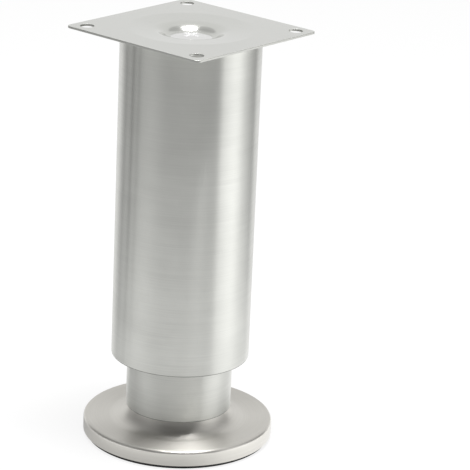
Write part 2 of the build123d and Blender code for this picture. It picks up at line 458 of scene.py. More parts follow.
def settle(piece: Piece) -> None:
    """Turns a piece's modifiers into its plain mesh.

    Args:
        piece: The piece.
    """
    depsgraph = bpy.context.evaluated_depsgraph_get()
    mesh = bpy.data.meshes.new_from_object(piece.evaluated_get(depsgraph))
    piece.modifiers.clear()
    piece.data = mesh


def run_tree(piece: Piece, tree: Tree, values: dict[str, Any]) -> None:
    """Runs a geometry tree on a piece and keeps the result as its mesh.

    Args:
        piece: The piece.
        tree: The tree.
        values: Input name and value.
    """
    modifier = piece.modifiers.new(tree.name, "NODES")
    modifier.node_group = tree
    for item in tree.interface.items_tree:
        if item.item_type == "SOCKET" and item.in_out == "INPUT" and item.name in values:
            modifier[item.identifier] = values[item.name]
    settle(piece)


def soften(piece: Piece, width: float, segments: int, bend: float = 40.0) -> None:
    """Adds a modifier that rounds a piece's sharp edges.

    Args:
        piece: The piece.
        width: How far the rounding reaches from an edge.
        segments: Steps of the rounding.
        bend: Edges that bend by more than this many degrees are rounded.
    """
    modifier = piece.modifiers.new("Soft edges", "BEVEL")
    modifier.width = width
    modifier.segments = segments
    modifier.limit_method = "ANGLE"
    modifier.angle_limit = math.radians(bend)


def tidy_mesh(piece: Piece, crease: float = 32.0) -> None:
    """Turns a closed piece's faces outwards and keeps its corners crisp.

    Args:
        piece: The piece.
        crease: Edges that bend by more than this many degrees stay sharp.
    """
    work = bmesh.new()
    work.from_mesh(piece.data)
    bmesh.ops.recalc_face_normals(work, faces=work.faces)
    work.to_mesh(piece.data)
    work.free()
    piece.data.set_sharp_from_angle(angle=math.radians(crease))


def join_into(piece: Piece, other: Piece) -> None:
    """Adds another piece's mesh to a piece, and removes the other.

    Args:
        piece: The piece that stays.
        other: The piece that goes into it.
    """
    work = bmesh.new()
    work.from_mesh(piece.data)
    work.from_mesh(other.data)
    work.to_mesh(piece.data)
    work.free()
    bpy.data.objects.remove(other)


@dataclass(frozen=True)
class Lathe:
    """Turns sections about the Z axis.

    Attributes:
        tree: The turning tree.
        segments: Steps round the axis.
    """

    tree: Tree
    segments: int = 192

    def turn(self, name: str, section: list[Point], finish: Material) -> Piece:
        """Turns one closed section.

        Args:
            name: The piece's name.
            section: Its points, as radius and height.
            finish: Its material.

        Returns:
            The turned piece.
        """
        mesh = bpy.data.meshes.new(name)
        mesh.from_pydata([(radius, 0.0, height) for radius, height in section], [], [])
        piece = new_piece(name, mesh)
        run_tree(piece, self.tree, {"Segments": self.segments, "Finish": finish})
        tidy_mesh(piece)
        return piece


@dataclass(frozen=True)
class Thread:
    """A right-hand thread on a rod.

    Attributes:
        radius: Outside radius.
        pitch: Rise of one turn.
        bottom: Height it starts at.
        top: Height it ends at.
        tip: Taper at its upper end.
        depth_share: Depth of the thread, as a share of the pitch.
        segments: Steps round the axis.
        rows_per_turn: Rows of points in one turn's rise.
        end_rows: Rows beyond those, for the flat ends.
        crease: Edges that bend by more than this many degrees stay sharp.
    """

    radius: float
    pitch: float
    bottom: float
    top: float
    tip: float
    depth_share: float = 0.58
    segments: int = 48
    rows_per_turn: int = 12
    end_rows: int = 4
    crease: float = 50.0

    def cut(self, name: str, tree: Tree, finish: Material) -> Piece:
        """Makes the threaded rod.

        Args:
            name: The piece's name.
            tree: The threading tree.
            finish: Its material.

        Returns:
            The threaded rod.
        """
        length = self.top - self.bottom
        piece = new_piece(name, bpy.data.meshes.new(name))
        values = {
            "Radius": self.radius,
            "Depth": self.pitch * self.depth_share,
            "Pitch": self.pitch,
            "Bottom": self.bottom,
            "Length": length,
            "Tip": self.tip,
            "Segments": self.segments,
            "Rows": round(length / self.pitch * self.rows_per_turn) + self.end_rows,
            "Finish": finish,
        }
        run_tree(piece, tree, values)
        tidy_mesh(piece, self.crease)
        return piece


# Finishes


def start_material(name: str) -> tuple[Material, Tree, Node]:
    """Starts a material.

    Args:
        name: The material's name.

    Returns:
        The material, its tree and its shader.
    """
    material = bpy.data.materials.new(name)
    material.use_nodes = True
    return material, material.node_tree, material.node_tree.nodes["Principled BSDF"]


def add_relief(tree: Tree, shader: Node, height: Socket, strength: float, depth: float) -> None:
    """Adds a fine relief to a shader.

    Args:
        tree: The material's tree.
        shader: The shader.
        height: The pattern that stands out.
        strength: Strength of the relief, from 0 to 1.
        depth: Its depth at full strength.
    """
    bump = add_node(tree, "ShaderNodeBump", {"Strength": strength, "Distance": depth, "Height": height})
    tree.links.new(bump.outputs[0], shader.inputs["Normal"])


@dataclass(frozen=True)
class MetalFinish:
    """A bare or plated metal with brushing, cloudiness and a fine relief.

    Attributes:
        slot: The record's material slot.
        tone: Colour of the metal.
        tone_spread: How far light and dark marks leave that colour.
        roughness: Middle roughness.
        roughness_spread: How far it varies.
        stretch: How much the sheen is drawn out across the brushing, from 0 to 1.
        grain: How the marks lie.
        streak_length: Length of a mark.
        streak_pitch: Width of a mark.
        relief: Strength of the marks' relief, from 0 to 1.
    """

    slot: str
    tone: Colour
    tone_spread: float
    roughness: float
    roughness_spread: float
    stretch: float
    grain: Grain
    streak_length: float
    streak_pitch: float
    relief: float

    def material(self) -> Material:
        """Builds the finish's material.

        Returns:
            The material.
        """
        material, tree, shader = start_material(self.slot)
        shader.inputs["Metallic"].default_value = 1.0
        marks = self._marks(tree)
        clouds = noise(tree, place_on(tree), CLOUD_SCALE, detail=3.0, roughness=0.55)
        streaks = maths(tree, "MULTIPLY", marks, MARK_SHARE)
        blend = maths(tree, "ADD", streaks, maths(tree, "MULTIPLY", clouds, 1 - MARK_SHARE))
        share = remap(tree, blend, MID_NOISE)
        tree.links.new(self._tone(tree, share), shader.inputs["Base Color"])
        tree.links.new(self._sheen(tree, share), shader.inputs["Roughness"])
        add_relief(tree, shader, marks, self.relief, BRUSH_DEPTH)
        if self.stretch:
            shader.inputs["Anisotropic"].default_value = self.stretch
            shader.inputs["Anisotropic Rotation"].default_value = QUARTER_TURN
            tangent = add_node(tree, "ShaderNodeTangent", direction_type="RADIAL", axis="Z")
            tree.links.new(tangent.outputs[0], shader.inputs["Tangent"])
        return material

    def _tone(self, tree: Tree, share: Socket) -> Socket:
        """Adds the colour, from the dark marks to the light ones.

        Args:
            tree: The material's tree.
            share: How light the marks are, from 0 to 1.

        Returns:
            The socket with the colour.
        """
        dark = tuple(c * (1 - self.tone_spread) for c in self.tone)
        light = tuple(min(1.0, c * (1 + self.tone_spread)) for c in self.tone)
        return mix_tones(tree, share, dark, light)

    def _sheen(self, tree: Tree, share: Socket) -> Socket:
        """Adds the roughness, which is least where the marks are light.

        Args:
            tree: The material's tree.
            share: How light the marks are, from 0 to 1.

        Returns:
            The socket with the roughness.
        """
        low, high = self.roughness - self.roughness_spread, self.roughness + self.roughness_spread
        return remap(tree, share, UNIT, (high, low))

    def _marks(self, tree: Tree) -> Socket:
        """Adds the marks' pattern, from 0 to 1.

        Args:
            tree: The material's tree.

        Returns:
            The socket with the pattern.
        """
        along, across = 1 / self.streak_length, 1 / self.streak_pitch
        spot, scale = place_on(tree), (along, across, across)
        if self.grain is Grain.ROUND:
            parts = add_node(tree, "ShaderNodeSeparateXYZ", {0: spot}).outputs
            path = maths(tree, "SUBTRACT", parts[2], axis_distance(tree, spot))
            spot = add_node(tree, "ShaderNodeCombineXYZ", {0: parts[0], 1: parts[1], 2: path}).outputs[0]
            scale = (along, along, across)
        return noise(tree, vector_maths(tree, "MULTIPLY", spot, scale), 1.0, detail=5.0, roughness=0.65)


@dataclass(frozen=True)
class ShadedCutFinish(MetalFinish):
    """A metal whose cut edges are rougher than its faces and darkened with painted shade.

    Attributes:
        edge_shade: Share of the colour that a cut edge keeps under its painted shade.
        edge_roughness: Roughness of a cut edge.
    """

    # Painted shade: by default a cut edge holds on to this share of its colour.
    edge_shade: float = 0.8
    edge_roughness: float = 0.5

    @staticmethod
    def _cut(tree: Tree) -> Socket:
        """Reads from the mesh whether a face is a cut edge."""
        return add_node(tree, "ShaderNodeAttribute", attribute_name=CUT_EDGE_SHADE).outputs["Fac"]

    def _tone(self, tree: Tree, share: Socket) -> Socket:
        """Adds the colour, darkened on the cut edges with painted shade.

        Args:
            tree: The material's tree.
            share: How light the marks are, from 0 to 1.

        Returns:
            The socket with the colour.
        """
        # Painted shade: the cut edges are darkened to stand for the shade in the gaps at the tube ends and
        # under the plate's edge.
        keep = remap(tree, self._cut(tree), UNIT, (1.0, self.edge_shade))
        inputs = {0: super()._tone(tree, share), "Scale": keep}
        return add_node(tree, "ShaderNodeVectorMath", inputs, operation="SCALE").outputs[0]

    def _sheen(self, tree: Tree, share: Socket) -> Socket:
        """Adds the roughness, greater on the cut edges.

        Args:
            tree: The material's tree.
            share: How light the marks are, from 0 to 1.

        Returns:
            The socket with the roughness.
        """
        return mix(tree, self._cut(tree), super()._sheen(tree, share), self.edge_roughness)


@dataclass(frozen=True)
class DiscFinish(MetalFinish):
    """A stamped disc whose flat ring is brushed coarser than its flare and its rim.

    Attributes:
        flare_share: Share of the ring's roughness that the flare has.
        flare_fade: Radii between which the flare goes over into the ring.
        rim_share: Share of the ring's roughness that the rim and the skirt have.
        rim_fade: Radii between which the ring goes over into the rim.
    """

    flare_share: float = 0.85
    flare_fade: Point = (23.4 * MM, 26.4 * MM)
    rim_share: float = 0.65
    rim_fade: Point = (33.9 * MM, 34.2 * MM)

    def _sheen(self, tree: Tree, share: Socket) -> Socket:
        """Adds the roughness, less inside and outside the flat ring.

        Args:
            tree: The material's tree.
            share: How light the marks are, from 0 to 1.

        Returns:
            The socket with the roughness.
        """
        radius = axis_distance(tree, place_on(tree))
        inside = remap(tree, radius, self.flare_fade, (self.flare_share, 1.0), smooth=True)
        outside = remap(tree, radius, self.rim_fade, (1.0, self.rim_share), smooth=True)
        coarse = maths(tree, "MINIMUM", inside, outside)
        return maths(tree, "MULTIPLY", super()._sheen(tree, share), coarse)


@dataclass(frozen=True)
class MouldedFinish:
    """A moulded plastic or rubber with a fine grain.

    Attributes:
        slot: The record's material slot.
        tone: Its colour.
        worn: Its colour where it has rubbed.
        roughness: Middle roughness.
        grain_size: Size of the grain.
        relief: Strength of the grain's relief, from 0 to 1.
        roughness_spread: How far the roughness varies.
    """

    slot: str
    tone: Colour
    worn: Colour
    roughness: float
    grain_size: float
    relief: float
    roughness_spread: float = 0.06

    def material(self) -> Material:
        """Builds the finish's material.

        Returns:
            The material.
        """
        material, tree, shader = start_material(self.slot)
        place = place_on(tree)
        grain = noise(tree, place, 1 / self.grain_size, detail=4.0)
        wear = remap(tree, noise(tree, place, WEAR_SCALE, detail=6.0, roughness=0.7), WEAR_NOISE)
        tree.links.new(mix_tones(tree, wear, self.tone, self.worn), shader.inputs["Base Color"])
        low, high = self.roughness - self.roughness_spread, self.roughness + self.roughness_spread
        tree.links.new(remap(tree, grain, MID_NOISE, (low, high)), shader.inputs["Roughness"])
        add_relief(tree, shader, grain, self.relief, GRAIN_DEPTH)
        return material


STEEL_TONE: Colour = (0.63, 0.635, 0.605)
FINISHES = (
    ShadedCutFinish(
        slot="brushed_tube",
        tone=STEEL_TONE,
        tone_spread=0.05,
        roughness=0.38,
        roughness_spread=0.04,
        stretch=1.0,
        grain=Grain.ROUND,
        streak_length=30 * MM,
        streak_pitch=0.25 * MM,
        relief=0.08,
        # Painted shade: the tube ends hold on to half their colour, for the shade in the gaps at each end.
        edge_shade=0.5,
    ),
    ShadedCutFinish(
        slot="stamped_sheet",
        tone=STEEL_TONE,
        tone_spread=0.025,
        roughness=0.15,
        roughness_spread=0.03,
        stretch=0.0,
        grain=Grain.ALONG,
        streak_length=20 * MM,
        streak_pitch=0.3 * MM,
        relief=0.05,
    ),
    DiscFinish(
        slot="turned_disc",
        tone=(0.66, 0.645, 0.605),
        tone_spread=0.04,
        roughness=0.47,
        roughness_spread=0.04,
        stretch=0.78,
        grain=Grain.ROUND,
        streak_length=25 * MM,
        streak_pitch=0.3 * MM,
        relief=0.1,
    ),
    MetalFinish(
        slot="bright_screw",
        tone=(0.78, 0.78, 0.77),
        tone_spread=0.04,
        roughness=0.2,
        roughness_spread=0.05,
        stretch=0.0,
        grain=Grain.CLOUDY,
        streak_length=1 * MM,
        streak_pitch=1 * MM,
        relief=0.1,
    ),
    MetalFinish(
        slot="plated_steel",
        tone=(0.6, 0.6, 0.57),
        tone_spread=0.08,
        roughness=0.4,
        roughness_spread=0.08,
        stretch=0.0,
        grain=Grain.CLOUDY,
        streak_length=2 * MM,
        streak_pitch=2 * MM,
        relief=0.2,
    ),
    MouldedFinish(
        slot="black_nylon",
        tone=(0.022, 0.022, 0.023),
        worn=(0.045, 0.045, 0.046),
        roughness=0.48,
        grain_size=0.35 * MM,
        relief=0.25,
    ),
    MouldedFinish(
        slot="black_pad",
        tone=(0.02, 0.02, 0.02),
        worn=(0.05, 0.05, 0.05),
        roughness=0.85,
        grain_size=0.5 * MM,
        relief=0.6,
    ),
)


# Sub-assemblies


@dataclass(frozen=True)
class Workshop:
    """What the sub-assemblies are made with.

    Attributes:
        finishes: Slot name and material.
        lathe: Turns sections.
        thread: The threading tree.
    """

    finishes: dict[str, Material]
    lathe: Lathe
    thread: Tree

    def hand_over(self, piece: Piece, body: Body, node: str) -> None:
        """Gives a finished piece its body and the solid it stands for.

        Args:
            piece: The piece.
            body: The body it moves with.
            node: The solid it stands for.
        """
        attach(piece, body.value)
        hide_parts(node)
        log.info("%s: %d faces, for %s", piece.name, len(piece.data.polygons), node)


@dataclass(frozen=True)
class Round:
    """The room that a round solid takes up.

    Attributes:
        radius: Its outside radius.
        bottom: Height of its underside.
        top: Height of its upper end.
    """

    radius: float
    bottom: float
    top: float

    @classmethod
    def of(cls, node: str) -> "Round":
        """Reads a solid's radius and heights from the frame."""
        low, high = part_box(node)
        return cls(max(high.x, high.y), low.z, high.z)


@dataclass(frozen=True)
class TubePair:
    """The outer tube and the neck that comes out of it.

    Attributes:
        wall: Wall of both tubes.
        edge: Rounding of their ends.
        edge_steps: Steps of each rounding.
    """

    wall: float = 1.2 * MM
    edge: float = 0.35 * MM
    edge_steps: int = 5

    def section(self, tube: Round) -> list[Point]:
        """The closed section of a tube's wall, with rounded ends.

        Args:
            tube: The room the tube takes up.

        Returns:
            The section's points.
        """
        outer, inner = tube.radius - self.edge, tube.radius - self.wall + self.edge
        low, high = tube.bottom + self.edge, tube.top - self.edge
        points = []
        ends = (((outer, low), -90), ((outer, high), 0), ((inner, high), 90), ((inner, low), 180))
        for centre, start in ends:
            points += arc(centre, self.edge, start, start + 90, self.edge_steps)
        return points

    def mark_ends(self, piece: Piece, tube: Round) -> None:
        """Marks the rounded ends of a tube as cut edges, which the finish roughens and darkens with painted
        shade.

        Args:
            piece: The turned tube.
            tube: The room it takes up.
        """
        cut = piece.data.attributes.new(CUT_EDGE_SHADE, "FLOAT", "FACE")
        for face in piece.data.polygons:
            height = face.center.z
            cut.data[face.index].value = float(min(height - tube.bottom, tube.top - height) < self.edge)

    def build(self, shop: Workshop) -> None:
        """Makes both tubes.

        Args:
            shop: What they are made with.
        """
        finish = shop.finishes["brushed_tube"]
        for node, body in (("outer_tube", Body.LEG), ("neck_tube", Body.FOOT)):
            tube = Round.of(node)
            piece = shop.lathe.turn(f"{node}_brushed", self.section(tube), finish)
            self.mark_ends(piece, tube)
            shop.hand_over(piece, body, node)


class RingMesh:
    """A closed mesh made of walls that run through rings of points, and of flat faces between them."""

    def __init__(self) -> None:
        """Starts an empty mesh."""
        self.work = bmesh.new()
        self.cut = self.work.faces.layers.float.new(CUT_EDGE_SHADE)

    def wall(self, rings: list[list[Vector]], cut: bool = False) -> tuple[Ring, Ring]:
        """Adds a smooth wall through rings of as many points each.

        Args:
            rings: The rings, in order.
            cut: Whether the wall is a cut edge of a sheet, which the finish roughens and darkens with
                painted shade.

        Returns:
            The corners of the first and the last ring.
        """
        rows = [[self.work.verts.new(point) for point in ring] for ring in rings]
        for upper, lower in zip(rows, rows[1:]):
            for i in range(len(upper)):
                face = self.work.faces.new((upper[i - 1], upper[i], lower[i], lower[i - 1]))
                face.smooth = True
                face[self.cut] = float(cut)
        return rows[0], rows[-1]

    def fill(self, rims: list[Ring]) -> None:
        """Fills the flat face that lies between rims."""
        edges = [self.work.edges.get((rim[i - 1], rim[i])) for rim in rims for i in range(len(rim))]
        bmesh.ops.triangle_fill(self.work, edges=edges, use_beauty=True)

    def mesh(self, name: str) -> bpy.types.Mesh:
        """Hands the finished mesh over, with its faces turned outwards."""
        bmesh.ops.recalc_face_normals(self.work, faces=self.work.faces)
        return plain_mesh(self.work, name)


@dataclass(frozen=True)
class FixingPlate:
    """The square plate with its dish and its pressed dimple, and the screw that holds it.

    Attributes:
        thick: Sheet thickness.
        corner: Radius of the plate's corners.
        edge: Rounding of the plate's upper outline.
        burr: Rounding of the other edges.
        hole_radius: Radius of the four corner holes.
        hole_place: Distance of the holes from both middle lines.
        flat_start: Radius from which the sheet is flat.
        dish: Radius of the shallow dish.
        dish_depth: Depth of the dish at the dimple's mouth.
        dish_bend: Bending radius of the dish's edge.
        mouth: Radius of the dimple's mouth.
        floor: Radius of the dimple's floor.
        mouth_bend: Bending radius of the dimple's mouth.
        floor_bend: Bending radius at its floor.
        screw_hole: Radius of the hole in the dimple.
        steps: Steps round the dimple.
        hole_steps: Steps round a hole.
        corner_steps: Steps round a corner of the plate.
        edge_steps: Steps of the upper outline's rounding.
        burr_steps: Steps of the other edges' rounding.
    """

    thick: float = 0.8 * MM
    corner: float = 2.0 * MM
    edge: float = 0.2 * MM
    burr: float = 0.08 * MM
    hole_radius: float = 2.5 * MM
    hole_place: float = 25.75 * MM
    flat_start: float = 23.4 * MM
    dish: float = 22.0 * MM
    dish_depth: float = 0.8 * MM
    dish_bend: float = 20.0 * MM
    mouth: float = 11.4 * MM
    floor: float = 7.9 * MM
    mouth_bend: float = 7.0 * MM
    floor_bend: float = 5.0 * MM
    screw_hole: float = 3.25 * MM
    steps: int = 128
    hole_steps: int = 48
    corner_steps: int = 12
    edge_steps: int = 4
    burr_steps: int = 3

    @staticmethod
    def easing(radius: float, steps: int) -> list[Point]:
        """How far an eased edge stands in and drops at each step, from the face to the side."""
        return [(radius - x, radius - y) for x, y in arc((0.0, 0.0), radius, 90, 0, steps)]

    @staticmethod
    def ring(centre: Point, radius: float, height: float, steps: int) -> list[Vector]:
        """A level circle of points.

        Args:
            centre: Where its middle is.
            radius: Its radius.
            height: Its height.
            steps: How many points it has.

        Returns:
            The points in order.
        """
        return [Vector((x, y, height)) for x, y in arc(centre, radius, 0, 360, steps)[:-1]]

    def outline(self, half: float, inset: float, height: float) -> list[Vector]:
        """The plate's rounded outline, moved inwards.

        Args:
            half: Half the plate's side.
            inset: How far inside the outline it runs.
            height: Its height.

        Returns:
            The points in order.
        """
        centre, radius = half - self.corner, self.corner - inset
        points = []
        for quarter in range(4):
            turn = Matrix.Rotation(quarter * math.pi / 2, 4, "Z")
            for x, y in arc((centre, centre), radius, 0, 90, self.corner_steps):
                points.append(turn @ Vector((x, y, height)))
        return points

    def edge_rings(self, half: float, top: float) -> list[list[Vector]]:
        """The rings of the plate's outer edge, from the upper face down.

        Args:
            half: Half the plate's side.
            top: Height of the upper face.

        Returns:
            The rings in order.
        """
        bottom = top - self.thick
        above, below = self.easing(self.edge, self.edge_steps), self.easing(self.burr, self.burr_steps)
        upper = [self.outline(half, inset, top - drop) for inset, drop in above]
        lower = [self.outline(half, inset, bottom + drop) for inset, drop in below]
        return upper + lower[::-1]

    def hole_rings(self, centre: Point, top: float) -> list[list[Vector]]:
        """The rings of one corner hole, from the upper face down.

        Args:
            centre: Where the hole is.
            top: Height of the upper face.

        Returns:
            The rings in order.
        """
        bottom = top - self.thick
        ends = [(self.hole_radius + inset, drop) for inset, drop in self.easing(self.burr, self.burr_steps)]
        upper = [self.ring(centre, radius, top - drop, self.hole_steps) for radius, drop in ends]
        lower = [self.ring(centre, radius, bottom + drop, self.hole_steps) for radius, drop in ends]
        return upper + lower[::-1]

    def dimple_rings(self, top: float, seat: float) -> list[list[Vector]]:
        """The rings from the flat sheet down to the screw's hole and back along the underside.

        Args:
            top: Height of the upper face.
            seat: Height of the dimple's floor.

        Returns:
            The rings in order.
        """
        corners = [(self.flat_start, top), (self.dish, top), (self.mouth, top - self.dish_depth)]
        corners += [(self.floor, seat), (self.screw_hole + self.burr, seat)]
        bends = (self.dish_bend, self.mouth_bend, self.floor_bend)
        hole = [(self.screw_hole + inset, drop) for inset, drop in self.easing(self.burr, self.burr_steps)]
        line = rounded(corners, bends)[:-1] + [(radius, seat - drop) for radius, drop in hole]
        line += [(radius, seat - self.thick + drop) for radius, drop in reversed(hole)]
        line += rounded(set_down(corners, self.thick), bends)[-2::-1]
        return [self.ring((0.0, 0.0), radius, height, self.steps) for radius, height in line]

    def build(self, shop: Workshop) -> None:
        """Makes the plate and its screw.

        Args:
            shop: What they are made with.
        """
        low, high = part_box("top_plate")
        top, seat = high.z, low.z + self.thick
        body = RingMesh()
        rims = [body.wall(self.edge_rings(high.x, top), cut=True), body.wall(self.dimple_rings(top, seat))]
        for x in (-self.hole_place, self.hole_place):
            for y in (-self.hole_place, self.hole_place):
                rims.append(body.wall(self.hole_rings((x, y), top), cut=True))
        for side in zip(*rims):
            body.fill(list(side))
        plate = new_piece("top_plate_pressed", body.mesh("top_plate_pressed"))
        plate.data.materials.append(shop.finishes["stamped_sheet"])
        shop.hand_over(plate, Body.LEG, "top_plate")
        PlateScrew(seat).build(shop)


@dataclass(frozen=True)
class PlateScrew:
    """The screw in the dimple: a domed wafer head with a cross recess on a threaded shank.

    Attributes:
        seat: Height of the head's underside.
        rim: Height of the head's edge.
        dome: Rise of the head from its edge to its middle.
        dome_steps: Steps from the middle to the edge.
        shank: Radius of the shank.
        pitch: Pitch of its thread.
        tip: Taper of its upper end, which the head covers.
        reach: Length of the recess from end to end.
        slot: Width of the recess.
        depth: Depth of the recess.
        clear: How far its cutter stands out above the head.
        taper: Slope of the recess, in degrees.
        soft: Rounding of the edges.
        soft_steps: Steps of the rounding.
    """

    seat: float
    rim: float = 1.0 * MM
    dome: float = 0.8 * MM
    dome_steps: int = 12
    shank: float = 2.95 * MM
    pitch: float = 1.0 * MM
    tip: float = 0.0
    reach: float = 6.4 * MM
    slot: float = 1.4 * MM
    depth: float = 2.0 * MM
    clear: float = 0.5 * MM
    taper: float = 12.0
    soft: float = 0.12 * MM
    soft_steps: int = 2

    def head_section(self, radius: float) -> list[Point]:
        """The head's section, from the middle of its dome to its underside.

        Args:
            radius: Radius of the head.

        Returns:
            The closed section's points.
        """
        sphere = (radius**2 + self.dome**2) / (2 * self.dome)
        centre = self.seat + self.rim + self.dome - sphere
        slope = math.degrees(math.asin(radius / sphere))
        points = arc((0.0, centre), sphere, 90, 90 - slope, self.dome_steps)
        points += [(radius, self.seat), (0.0, self.seat)]
        return [(max(0.0, r), z) for r, z in points]

    def recess(self) -> Piece:
        """The cross that is cut into the head, narrower towards its bottom.

        Returns:
            The cutter, as a piece.
        """
        top = self.seat + self.rim + self.dome
        shrink = math.tan(math.radians(self.taper))
        turns = [Matrix.Rotation(i * math.pi / 2, 2) for i in range(4)]
        work = bmesh.new()
        rows = []
        for down in (-self.clear, self.depth):
            long, wide = self.reach / 2 - down * shrink, self.slot / 2 - down * shrink
            quarter = [Vector((long, -wide)), Vector((long, wide)), Vector((wide, wide))]
            points = [turn @ corner for turn in turns for corner in quarter]
            rows.append([work.verts.new((p.x, p.y, top - down)) for p in points])
        work.faces.new(rows[0])
        work.faces.new(rows[1][::-1])
        for i in range(len(rows[0])):
            work.faces.new((rows[0][i - 1], rows[1][i - 1], rows[1][i], rows[0][i]))
        bmesh.ops.recalc_face_normals(work, faces=work.faces)
        return new_piece("recess", plain_mesh(work, "recess"))

    def build(self, shop: Workshop) -> None:
        """Makes the screw.

        Args:
            shop: What it is made with.
        """
        finish = shop.finishes["bright_screw"]
        room = Round.of("plate_screw")
        head = shop.lathe.turn("plate_screw_bright", self.head_section(room.radius), finish)
        cross = self.recess()
        cut = head.modifiers.new("Recess", "BOOLEAN")
        cut.object = cross
        cut.solver = "EXACT"
        soften(head, self.soft, self.soft_steps)
        settle(head)
        bpy.data.objects.remove(cross)
        tidy_mesh(head)
        thread = Thread(self.shank, self.pitch, room.bottom, self.seat, self.tip)
        join_into(head, thread.cut("shank", shop.thread, finish))
        shop.hand_over(head, Body.LEG, "plate_screw")


@dataclass(frozen=True)
class Foot:
    """The stamped foot disc with its pad, and the threaded stem.

    Attributes:
        sheet: Sheet thickness of the disc.
        rim: Radius of the disc's rim.
        skirt: Height of the skirt, rim included.
        flat: Width of the flat ring.
        flare: Radius of the flare.
        spigot: Radius of the spigot inside the neck.
        stem_hole: Radius of the stem's hole.
        hem: Rounding of the skirt's lower edge.
        pad_edge: Rounding of the pad's lower edge.
        hem_steps: Steps of those two roundings.
        rim_steps: Steps of the rim, outside and inside.
        flare_steps: Steps of the flare, outside and inside.
    """

    sheet: float = 0.8 * MM
    rim: float = 1.2 * MM
    skirt: float = 5.6 * MM
    flat: float = 8.3 * MM
    flare: float = 7.0 * MM
    spigot: float = 17.9 * MM
    stem_hole: float = 5.1 * MM
    hem: float = 0.25 * MM
    pad_edge: float = 0.3 * MM
    hem_steps: int = 4
    rim_steps: tuple[int, int] = (10, 6)
    flare_steps: tuple[int, int] = (24, 16)

    def disc_section(self, room: Round, shoulder: float) -> list[Point]:
        """The disc's section: skirt, rim, flat ring, flare, shoulder and spigot, and back inside.

        Args:
            room: The room the disc takes up.
            shoulder: Height of the shoulder that the neck stands on.

        Returns:
            The closed section's points.
        """
        radius, sheet, flare = room.radius, self.sheet, self.flare
        top = room.bottom + self.skirt
        foot = radius - self.rim - self.flat
        rim_centre = (radius - self.rim, top - self.rim)
        flare_centre = (foot, top + flare)
        spread = math.degrees(math.acos(1 - (shoulder - top) / flare))
        inner_drop = top + flare - (shoulder - sheet)
        inner_start = 180 + math.degrees(math.asin(inner_drop / (flare + sheet)))
        points = arc((radius - self.hem, room.bottom + self.hem), self.hem, -90, 0, self.hem_steps)
        points += arc(rim_centre, self.rim, 0, 90, self.rim_steps[0])
        points += arc(flare_centre, flare, 270, 270 - spread, self.flare_steps[0])
        points += [(self.spigot, shoulder), (self.spigot, room.top), (self.stem_hole, room.top)]
        points += [(self.stem_hole, room.top - sheet), (self.spigot - sheet, room.top - sheet)]
        points += [(self.spigot - sheet, shoulder - sheet)]
        points += arc(flare_centre, flare + sheet, inner_start, 270, self.flare_steps[1])
        points += arc(rim_centre, self.rim - sheet, 90, 0, self.rim_steps[1])
        points += [(radius - sheet, room.bottom)]
        return points

    def pad_section(self, room: Round) -> list[Point]:
        """The pad's section, closed on the axis.

        Args:
            room: The room the pad takes up.

        Returns:
            The closed section's points.
        """
        edge = self.pad_edge
        lower = arc((room.radius - edge, room.bottom + edge), edge, -90, 0, self.hem_steps)
        return [(0.0, room.bottom), *lower, (room.radius, room.top), (0.0, room.top)]

    def build(self, shop: Workshop) -> None:
        """Makes the disc, the pad and the stem.

        Args:
            shop: What they are made with.
        """
        section = self.disc_section(Round.of("foot_disc"), Round.of("neck_tube").bottom)
        disc = shop.lathe.turn("foot_disc_stamped", section, shop.finishes["turned_disc"])
        shop.hand_over(disc, Body.FOOT, "foot_disc")
        section = self.pad_section(Round.of("foot_pad"))
        pad = shop.lathe.turn("foot_pad_grained", section, shop.finishes["black_pad"])
        shop.hand_over(pad, Body.FOOT, "foot_pad")
        Stem().build(shop)


@dataclass(frozen=True)
class Stem:
    """The bolt that the foot turns on: a hexagon head and a threaded shank.

    Attributes:
        flats: Width of the head across its flats.
        head_height: Height of the head.
        shank: Radius of the shank.
        pitch: Pitch of its thread.
        tip: Taper of its upper end.
        soft: Rounding of the head's edges.
        soft_steps: Steps of the rounding.
    """

    flats: float = 16.0 * MM
    head_height: float = 6.4 * MM
    shank: float = 4.95 * MM
    pitch: float = 1.5 * MM
    tip: float = 1.0 * MM
    soft: float = 0.3 * MM
    soft_steps: int = 3

    def head(self, bottom: float) -> bpy.types.Mesh:
        """The plain hexagon head, with two of its corners along X.

        Args:
            bottom: Height of its underside.

        Returns:
            The head's mesh.
        """
        work = bmesh.new()
        corner = self.flats / math.sqrt(3)
        bmesh.ops.create_cone(
            work,
            cap_ends=True,
            segments=6,
            radius1=corner,
            radius2=corner,
            depth=self.head_height,
            matrix=Matrix.Translation((0, 0, bottom + self.head_height / 2)),
        )
        return plain_mesh(work, "stem_threaded")

    def build(self, shop: Workshop) -> None:
        """Makes the bolt.

        Args:
            shop: What it is made with.
        """
        finish = shop.finishes["plated_steel"]
        low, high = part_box("stem")
        bolt = new_piece("stem_threaded", self.head(low.z))
        soften(bolt, self.soft, self.soft_steps)
        settle(bolt)
        bolt.data.materials.append(finish)
        tidy_mesh(bolt)
        thread = Thread(self.shank, self.pitch, low.z + self.head_height, high.z, self.tip)
        join_into(bolt, thread.cut("stem_shank", shop.thread, finish))
        shop.hand_over(bolt, Body.FOOT, "stem")


def dress_solids(shop: Workshop) -> None:
    """Gives each solid that is still shown the finish of its slot.

    Args:
        shop: Where the finishes are.
    """
    for part in frame["record"]["subparts"]:
        solid = frame["nodes"][part["node"]]
        if solid.hide_render:
            continue
        solid.data.materials.clear()
        solid.data.materials.append(shop.finishes[part["material_slot"]])
        log.info("%s: solid, dressed in %s", part["node"], part["material_slot"])


# Stage


